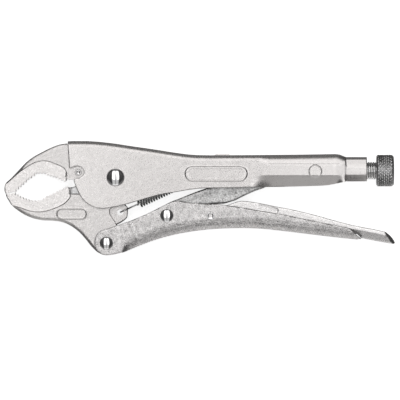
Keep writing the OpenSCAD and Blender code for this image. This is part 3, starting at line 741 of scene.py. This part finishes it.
tail_line = rel_up[rel_up[:, 0] > 92] - [0, 2.4]
add("release", plate(rel_out, rel_z, 0.75, (0.12, 0.3, 0.6, 1.2), [(recess, True, 1.0), (tail_line, False, 0.5), (arc(P5, 4.2, 0, 360, 24)[:-1], True, 0.6)]),
    M_release, "release_lever", ["release_lever"])


# ------------------------------------------------------------------ rivets
def rivet(name, p, head_r, head_h, half, shank, body, node):
    prof = [(shank, 0), (shank, half - 0.02), (head_r - 0.25, half - 0.02), (head_r, half + 0.18), (head_r, half + 0.35)]
    for a in np.linspace(4, 86, 22):
        c, s_ = math.cos(math.radians(a)), math.sin(math.radians(a))
        prof.append((head_r * c ** 0.92, half + 0.35 + (head_h - 0.35) * s_ ** 1.05))
    prof.append((0.02, half + head_h))
    V, F = lathe(prof, 72, center=(p[0], p[1], 0), cap=False)
    F.append(tuple((len(prof) - 1) * 72 + k for k in range(72)))
    V2 = V * [1, 1, -1]
    n = len(V)
    F = F + [tuple(i + n for i in f[::-1]) for f in F]
    V, F = np.concatenate([V, V2]), [tuple(i - n if n <= i < n + 72 else i for i in f) for f in F]
    return add(name, (V, F), M_chrome, body, [node], sharp=50)


rivet("rivet_main", P1, 5.7, 3.08, HB, 4, "body", "main_rivet")
rivet("rivet_lever", P2, 4.25, 2.3, 8.5, 3, "lever", "lever_rivet")
rivet("rivet_link", P3, 4.2, 1.98, HL, 3, "lever", "link_rivet")
pin("release_pin_end", P5, 2.3, HL, 0.28, 0.5, M_chrome, "lever", "release_pin")

# ------------------------------------------------------------------ screw and knob
R, PITCH, ROOT = 5.75, 1.5, 4.95


def thread(x, a):
    f = (x / PITCH - a / (2 * math.pi)) % 1.0
    t = np.clip((np.abs(f - 0.5) - 0.1) / 0.3, 0, 1)
    r = ROOT + (R - ROOT) * t
    r = np.where(x < 57.2, np.minimum(r, R - 1.2 + np.clip(x - 56, 0, 2)), r)
    r = np.where(x > 111.6, np.minimum(r, R - 0.6 * np.clip(x - 111.6, 0, 1)), r)
    r = np.where(x < 56.01, 2.2, r)
    r = np.where(x < 45.4, 2.2 - 0.6 * (45.4 - x) / 0.9, r)
    return np.where(x > 112.6, 3.9, r)


xs = np.concatenate([[44.5, 45, 45.4, 50, 56.0, 56.02], np.arange(56.2, 112.6, 0.15), [112.6, 112.62, 121]])
SV, SF = grid_lathe(xs, thread, 48, AXIS_Y, 0)
# painted highlight: thread crests painted bright, roots left dark
rad = np.hypot(SV[:, 1] - AXIS_Y, SV[:, 2])
add("screw", (SV, SF), M_screw, "screw", ["adjusting_screw"], sharp=40, raised=np.clip((rad - ROOT - 0.1) / 0.6, 0, 1) ** 1.5)

KR = 10.2


def knurl(x, a):
    u = x - 112.9
    k1 = (14 * a / math.pi + u * 0.41) % 1.0
    k2 = (14 * a / math.pi - u * 0.41) % 1.0
    g = np.minimum(np.minimum(k1, 1 - k1), np.minimum(k2, 1 - k2))
    r = KR - 0.7 * (1 - np.clip(g / 0.4, 0, 1)) * (u > 0.8) * (u < 9.6)
    r = np.minimum(r, KR - 0.9 + np.clip(u, 0, 3) * 1.0)
    e = np.clip(u - 9.2, 0, 1.9)
    return np.minimum(r, KR - (1.9 - np.sqrt(np.maximum(1.9 ** 2 - e ** 2, 0))) * 0.95)


xs = np.concatenate([112.9 + np.array([0, 0.3, 0.6, 0.8]), np.arange(113.82, 122.1, 0.15), 112.9 + np.array([9.3, 9.7, 10.1, 10.5, 10.8, 11.0, 11.08])])
V, F = grid_lathe(xs, knurl, 400, AXIS_Y, 0)
# end face: shallow dish with a small centre
F = F[:-1]
n = 400
base = (len(xs) - 1) * n
extra = []
a = 2 * math.pi * np.arange(n) / n
for r, x in ((7.2, 123.95), (6.8, 123.6), (2.6, 123.55), (2.2, 123.9), (0.05, 123.9)):
    extra.append(np.stack([np.full(n, x), AXIS_Y + r * np.cos(a), r * np.sin(a)], 1))
V = np.concatenate([V] + extra)
for i in range(5):
    for k in range(n):
        q = (k + 1) % n
        F.append((base + i * n + k, base + i * n + q, base + (i + 1) * n + q, base + (i + 1) * n + k))
F.append(tuple(base + 5 * n + k for k in range(n)))
# painted highlight: knurl ridges painted bright against darker valleys, the plain ends evenly brightened
rad = np.hypot(V[:, 1] - AXIS_Y, V[:, 2])
knurl_highlight = np.where((V[:, 0] > 113.8) & (V[:, 0] < 122.2), np.clip((rad - KR + 0.42) / 0.42, 0, 1) ** 2.2, 0.3)
add("knurled_knob", (V, F), M_knob, "knob", ["knob"], sharp=40, raised=knurl_highlight)

# ------------------------------------------------------------------ spring
sp = A - H
sp_len = float(np.hypot(*sp))
ux, uy = sp / sp_len
c0, turns, cp, cr_ = 13.6, 27, 1.75, 2.45
path = []
for t in np.radians(np.linspace(40, 325, 26)):
    path.append((3.3 + 2.9 * math.cos(t), 0.0, 2.9 * math.sin(t)))
path += [(6.6, 0, -0.9), (7.6, 0, -0.3), (9, 0, 0), (11.4, 0, 0)]
for t in np.linspace(0.1, 1, 10):
    path.append((12.0 + 1.6 * t, cr_ * t * math.cos(math.pi * t - math.pi), cr_ * t * math.sin(math.pi * t - math.pi)))
for t in np.linspace(0, 2 * math.pi * (turns - 1), 22 * (turns - 1))[1:]:
    path.append((c0 + cp * t / (2 * math.pi), cr_ * math.cos(t), cr_ * math.sin(t)))
e = c0 + cp * (turns - 1)
for t in np.linspace(0.9, 0.1, 9):
    path.append((e + 1.6 * (1 - t), cr_ * t * math.cos(math.pi * (1 - t)), cr_ * t * math.sin(math.pi * (1 - t))))
path += [(e + 2.6, 0, 0), (sp_len - 6.2, 0, 0), (sp_len - 5.4, 0, -0.4)]
for t in np.radians(np.linspace(-140, 140, 24)):
    path.append((sp_len - 2.5 + 2.2 * math.cos(t), 0.0, 2.2 * math.sin(t)))
V, F = tube(path, 0.48, 10)
V = np.column_stack([H[0] + V[:, 0] * ux - V[:, 1] * uy, H[1] + V[:, 0] * uy + V[:, 1] * ux, V[:, 2]])
spring = add("coil_spring", (V, F), M_spring, "body", ["jaw_spring"], sharp=60)
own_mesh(spring)

# ------------------------------------------------------------------ pieces kept from the CAD
for node, mat, slot in (("spring_anchor", M_body, "body_satin"),):
    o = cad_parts[node]
    o.data.materials.clear()
    o.data.materials.append(mat)

# ------------------------------------------------------------------ stage, lights, camera
def stage_mat(name, col, emit=0):
    m = bpy.data.materials.new(name)
    m.use_nodes = True
    b = m.node_tree.nodes["Principled BSDF"]
    b.inputs["Base Color"].default_value = (*col, 1)
    b.inputs["Roughness"].default_value = 0.9
    b.inputs["Specular IOR Level"].default_value = 0.1
    b.inputs["Emission Color"].default_value = (1, 1, 1, 1)
    b.inputs["Emission Strength"].default_value = emit
    return m


me = bpy.data.meshes.new("floor")
me.from_pydata([(-3, -3, -0.0002), (3, -3, -0.0002), (3, 3, -0.0002), (-3, 3, -0.0002)], [], [(0, 1, 2, 3)])
floor = bpy.data.objects.new("floor", me)
floor.data.materials.append(stage_mat("floor_white", (0.8, 0.8, 0.8), 0.8))
bpy.context.scene.collection.objects.link(floor)
floor.visible_glossy = False

world = bpy.data.worlds.new("studio")
bpy.context.scene.world = world
world.use_nodes = True
bg = world.node_tree.nodes["Background"]
# bright above, darker towards the horizon, at the far sides and on the near side
WN, WL = world.node_tree.nodes, world.node_tree.links
wc = WN.new("ShaderNodeTexCoord")
wx = WN.new("ShaderNodeSeparateXYZ")
WL.new(wc.outputs["Generated"], wx.inputs[0])


def ramp_(value, lo, hi, to_lo, to_hi):
    n = WN.new("ShaderNodeMapRange")
    n.interpolation_type = "SMOOTHSTEP"
    for k, v in (("From Min", lo), ("From Max", hi), ("To Min", to_lo), ("To Max", to_hi)):
        n.inputs[k].default_value = v
    WL.new(value, n.inputs["Value"])
    return n.outputs[0]


def op_(kind, a, b):
    n = WN.new("ShaderNodeMath")
    n.operation = kind
    for i, v in enumerate((a, b)):
        if isinstance(v, (int, float)):
            n.inputs[i].default_value = v
        else:
            WL.new(v, n.inputs[i])
    return n.outputs[0]


up_ = ramp_(wx.outputs["Z"], 0.30, 0.62, 0.0, 1.0)
near_ = ramp_(wx.outputs["Y"], -0.45, 0.15, 0.42, 1.05)
back_ = ramp_(wx.outputs["Y"], 0.20, 0.45, 0.0, 0.8)
side_ = ramp_(op_("ABSOLUTE", wx.outputs["X"], 0), 0.29, 0.45, 1.0, 0.04)
front_ = ramp_(wx.outputs["Y"], -0.6, -0.15, 0.75, 0.0)
far_ = ramp_(wx.outputs["Y"], 0.70, 0.86, 1.0, 0.1)
low_ = ramp_(wx.outputs["Z"], 0.30, 0.62, 1.0, 0.0)
mid_ = op_("MAXIMUM", ramp_(op_("ABSOLUTE", wx.outputs["X"], 0), 0.03, 0.08, 0.5, 1.0), low_)
glow_ = op_("MULTIPLY", op_("ADD", op_("MULTIPLY", op_("MULTIPLY", up_, far_), op_("ADD", near_, back_)), op_("ADD", op_("MULTIPLY", front_, low_), 0.21)), mid_)
side_ = op_("MAXIMUM", side_, op_("MULTIPLY", low_, 0.18))
WL.new(op_("ADD", op_("MULTIPLY", glow_, side_), 0.02), bg.inputs["Strength"])
bg.inputs["Color"].default_value = (1.0, 0.99, 0.98, 1)


def soft_box(name, loc, size, power, target=(0, 0, 0.0116)):
    l = bpy.data.lights.new(name, "AREA")
    l.shape = "RECTANGLE"
    l.size, l.size_y = size
    l.energy = power
    o = bpy.data.objects.new(name, l)
    o.location = loc
    o.rotation_euler = (Vector(target) - Vector(loc)).to_track_quat("-Z", "Y").to_euler()
    bpy.context.scene.collection.objects.link(o)
    return o


soft_box("box_left", (-0.22, 0.06, 0.95), (0.24, 0.56), 0.54, (-0.22, 0.06, 0))
soft_box("box_right", (0.22, 0.06, 0.95), (0.24, 0.56), 0.54, (0.22, 0.06, 0))

cam = bpy.data.cameras.new("camera")
cam.sensor_width = 36
cam.lens = 36 * 4 / 0.256
co = bpy.data.objects.new("camera", cam)
co.location = (0, -0.00128, 4.0116)
bpy.context.scene.collection.objects.link(co)
bpy.context.scene.camera = co
bpy.context.scene.view_settings.view_transform = "Standard"
